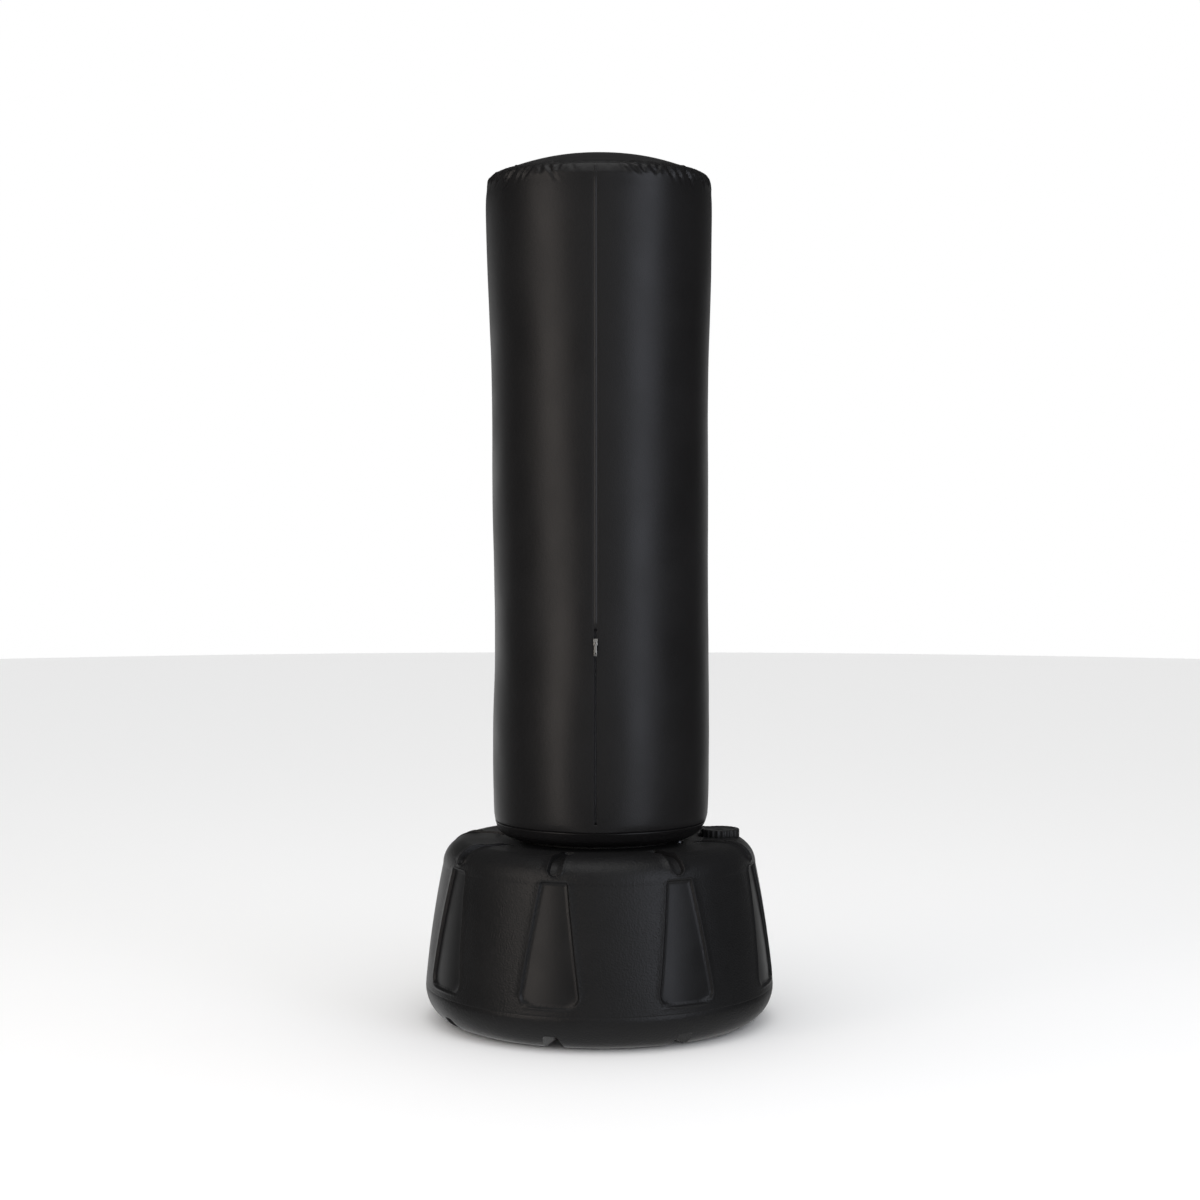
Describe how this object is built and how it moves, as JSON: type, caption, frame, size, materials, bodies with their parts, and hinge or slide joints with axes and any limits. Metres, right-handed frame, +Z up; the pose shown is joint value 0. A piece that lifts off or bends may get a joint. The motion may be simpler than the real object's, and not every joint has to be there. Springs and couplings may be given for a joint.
{
  "type": "free-standing heavy punching bag",
  "caption": "Tall padded striking bag in a black vinyl cover, on a round ballast base with moulded panels; the bag unscrews and the base has a screw fill cap.",
  "frame": {"origin": "centre of the underside of the base, on the floor", "axes": "+Z up along the bag's axis; -Y is the front, where the cover's seam and zip run; +X is to the right seen from the front"},
  "size_m": [0.7106, 0.7106, 1.753],
  "materials": {
    "polyethylene": "satin",
    "cap_plastic": "satin",
    "core_plastic": "satin",
    "ballast": "gloss",
    "vinyl": "satin",
    "foam": "matte",
    "black_rubber": "matte",
    "zinc_steel": "satin",
    "zip_metal": "satin",
    "zip_tape": "matte",
    "zip_coil": "satin",
    "cord": "matte"
  },
  "bodies": {
    "base": {"base_tank": "polyethylene", "ballast_fill": "ballast", "vent_screw": "zinc_steel", "vent_seal": "black_rubber"},
    "cap_gasket": {"cap_gasket": "black_rubber"},
    "fill_cap": {"fill_cap": "cap_plastic"},
    "neck_washer": {"neck_washer": "black_rubber"},
    "bag": {"core_tube": "core_plastic", "core_socket": "core_plastic", "socket_screw_1": "zinc_steel", "socket_screw_2": "zinc_steel", "socket_screw_3": "zinc_steel", "socket_screw_4": "zinc_steel", "socket_screw_5": "zinc_steel", "socket_screw_6": "zinc_steel", "core_top_plug": "core_plastic", "foam_sleeve": "foam", "foam_top_pad": "foam", "cover_side": "vinyl", "cover_top": "vinyl", "cover_bottom": "vinyl", "hem_drawcord": "cord", "zip_tape_left": "zip_tape", "zip_tape_right": "zip_tape", "zip_coil_left": "zip_coil", "zip_coil_right": "zip_coil", "zip_top_stop": "zip_metal", "zip_bottom_stop": "zip_metal"},
    "zip_slider": {"zip_slider": "zip_metal"},
    "zip_pull": {"zip_pull": "zip_metal"}
  },
  "joints": [
    {"name": "bag_turn", "type": "hinge", "parent": "base", "child": "neck_washer", "pos_m": [0, 0, 0.3665], "axis": [0, 0, 1], "range_deg": [0, 720]},
    {"name": "bag_rise", "type": "slide", "parent": "neck_washer", "child": "bag", "axis": [0, 0, 1], "range_m": [0, 0.0501]},
    {"name": "cap_rise", "type": "slide", "parent": "base", "child": "cap_gasket", "axis": [0, 0, 1], "range_m": [0, 0.0081]},
    {"name": "cap_turn", "type": "hinge", "parent": "cap_gasket", "child": "fill_cap", "pos_m": [0.24725, 0.03695, 0.3805], "axis": [0, 0, 1], "range_deg": [0, 720]},
    {"name": "zip_slide", "type": "slide", "parent": "bag", "child": "zip_slider", "axis": [0, 0, -1], "range_m": [0, 0.345]},
    {"name": "pull_swing", "type": "hinge", "parent": "zip_slider", "child": "zip_pull", "pos_m": [0, -0.2235, 0.78], "axis": [-1, 0, 0], "range_deg": [0, 165]}
  ],
  "couplings": [
    {"joint": "bag_rise", "follows": "bag_turn", "m_per_rad": 0.0039789},
    {"joint": "cap_rise", "follows": "cap_turn", "m_per_rad": 0.00063662}
  ]
}
